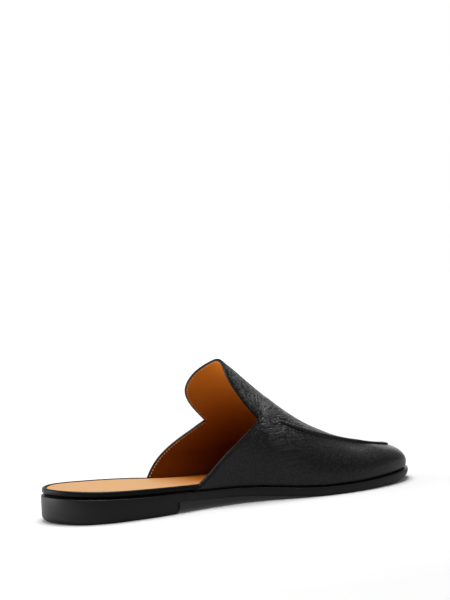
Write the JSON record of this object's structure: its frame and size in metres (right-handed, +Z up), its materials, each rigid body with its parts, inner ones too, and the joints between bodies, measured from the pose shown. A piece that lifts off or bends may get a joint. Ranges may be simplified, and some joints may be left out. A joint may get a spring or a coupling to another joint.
{
  "type": "backless loafer shoe",
  "caption": "Left backless loafer: hollow leather upper with a raised throat tab and apron seam, a footbed with a bound edge, a thin sole and a low heel.",
  "frame": {"origin": "centre of the shoe's bounding box, on the floor that it stands on", "axes": "+X from the heel to the toe, +Y to the lateral side, +Z up"},
  "size_m": [0.292, 0.0949, 0.0976],
  "materials": {
    "upper_leather": "fine pebbled black calf with a soft sheen, lined in tan calf",
    "insole_leather": "smooth tan sock leather, matt",
    "rand_leather": "smooth black binding leather, satin",
    "sole_leather": "black burnished edge, satin",
    "heel_block": "black burnished side, satin"
  },
  "bodies": {
    "root": {"upper": "upper_leather", "insole": "insole_leather", "rand": "rand_leather", "outsole": "sole_leather", "heel": "heel_block"}
  },
  "joints": []
}
